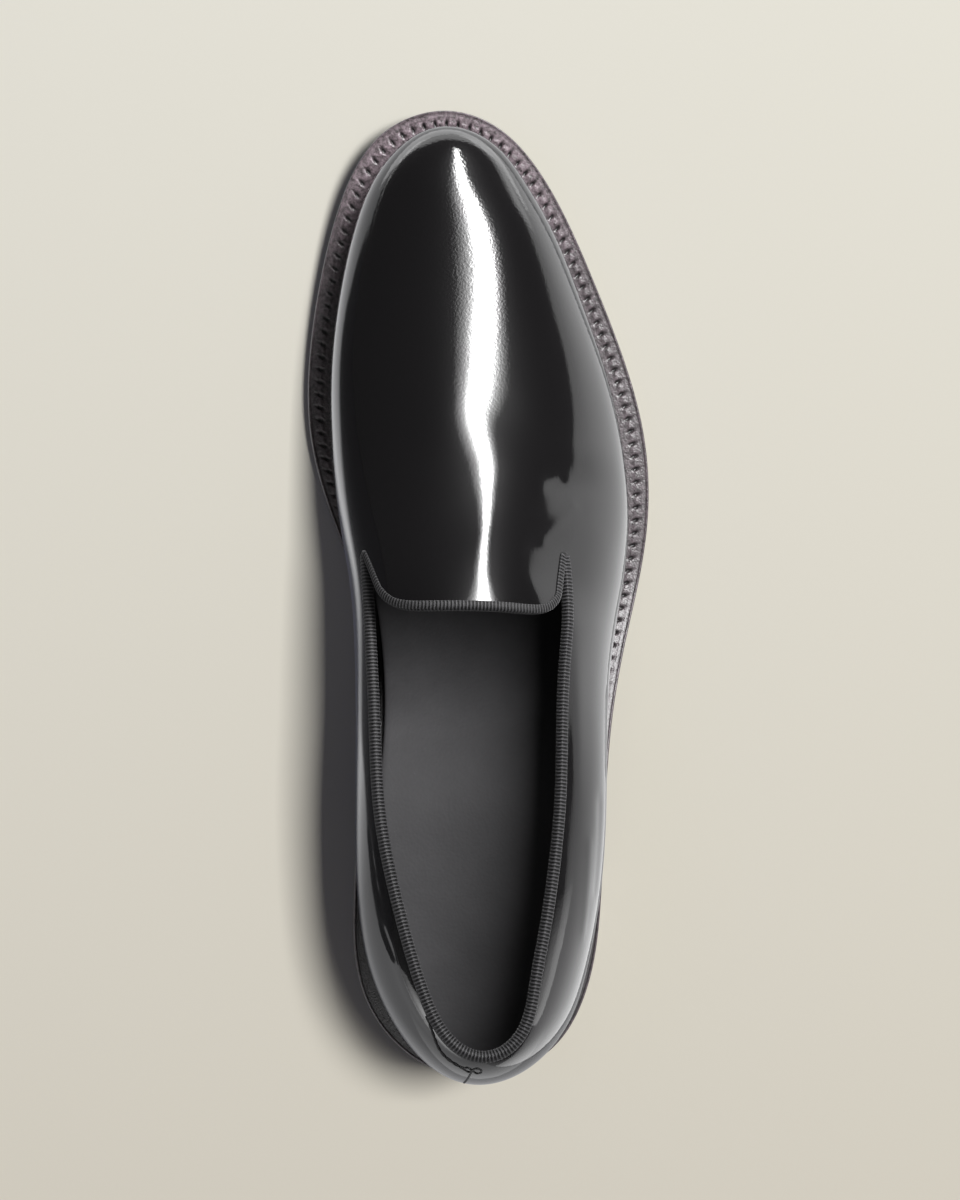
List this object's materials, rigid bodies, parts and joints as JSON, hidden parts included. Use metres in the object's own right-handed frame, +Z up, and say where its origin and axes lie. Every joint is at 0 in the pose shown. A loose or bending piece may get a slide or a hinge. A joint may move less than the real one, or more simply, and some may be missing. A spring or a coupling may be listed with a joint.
{
  "type": "loafer",
  "caption": "Right slip-on loafer in patent leather with a ribbon-bound collar, side notches, a tab over the instep, a stitched welt, a leather sole and a low stacked heel.",
  "frame": {"origin": "middle of the shoe's box on the floor that it stands on", "axes": "+Y from the heel to the toe, +Z up, +X to the lateral side, which is the right-hand side"},
  "size_m": [0.1072, 0.3, 0.0848],
  "materials": {
    "patent_leather": "black, high gloss lacquer",
    "welt_leather": "dark brown-black, waxed and wheeled",
    "sole_leather": "dark, burnished edge",
    "heel_leather": "dark stacked leather, burnished",
    "insole_leather": "matte grey-black",
    "grosgrain": "black ribbed ribbon, dull sheen"
  },
  "bodies": {
    "root": {"heel": "heel_leather", "outsole": "sole_leather", "welt": "welt_leather", "insole": "insole_leather", "upper": "patent_leather", "topline_binding": "grosgrain"}
  },
  "joints": []
}
